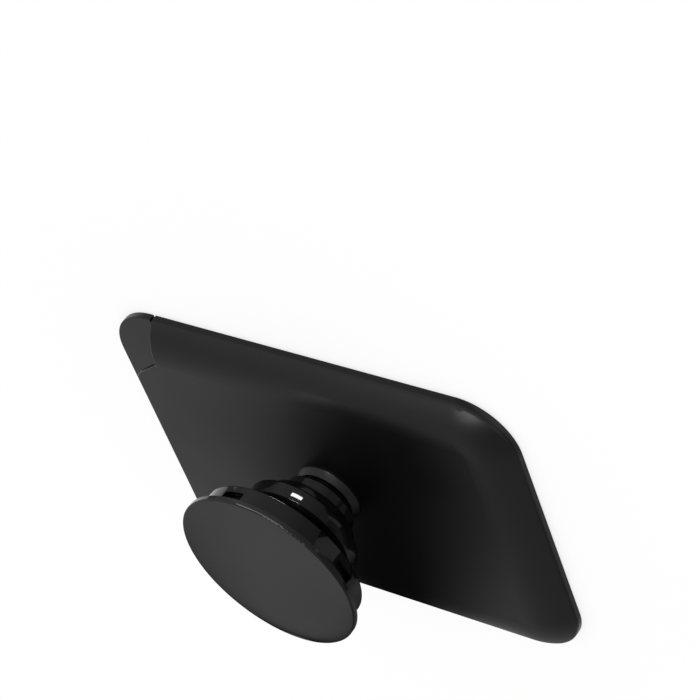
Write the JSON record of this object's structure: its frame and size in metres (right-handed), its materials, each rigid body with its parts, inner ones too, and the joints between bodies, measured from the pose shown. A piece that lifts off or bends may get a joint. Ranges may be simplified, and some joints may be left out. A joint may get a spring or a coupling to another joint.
{
  "type": "phone card holder",
  "caption": "Flat pocket for bank cards with an adhesive back for a phone, open at one short end, with a round pull-out bellows grip on its front.",
  "frame": {"origin": "centre of the adhesive back, on the surface that the holder is stuck to", "axes": "+X along the long side to the closed end, +Y across the holder, +Z out through the grip"},
  "size_m": [0.0984, 0.0694, 0.0282],
  "materials": {
    "shell": "fine matte moulding",
    "foam": "soft foam",
    "soft": "glossy soft plastic",
    "ring": "polished",
    "disc": "fine matte moulding"
  },
  "bodies": {
    "holder": {"cover_shell": "shell", "back_plate": "shell", "adhesive_pad": "foam", "base_collar": "shell"},
    "folds": {"bellows": "soft"},
    "head": {"cap_ring": "ring", "grip_disc": "disc"}
  },
  "joints": [
    {"name": "grip_turn", "type": "hinge", "parent": "holder", "child": "folds", "pos_m": [-0.0011, 0, 0.0058], "axis": [0, 0, 1], "continuous": true},
    {"name": "grip_collapse", "type": "slide", "parent": "folds", "child": "head", "axis": [0, 0, 1], "range_m": [-0.0161, 0], "deforming": ["bellows"]}
  ]
}
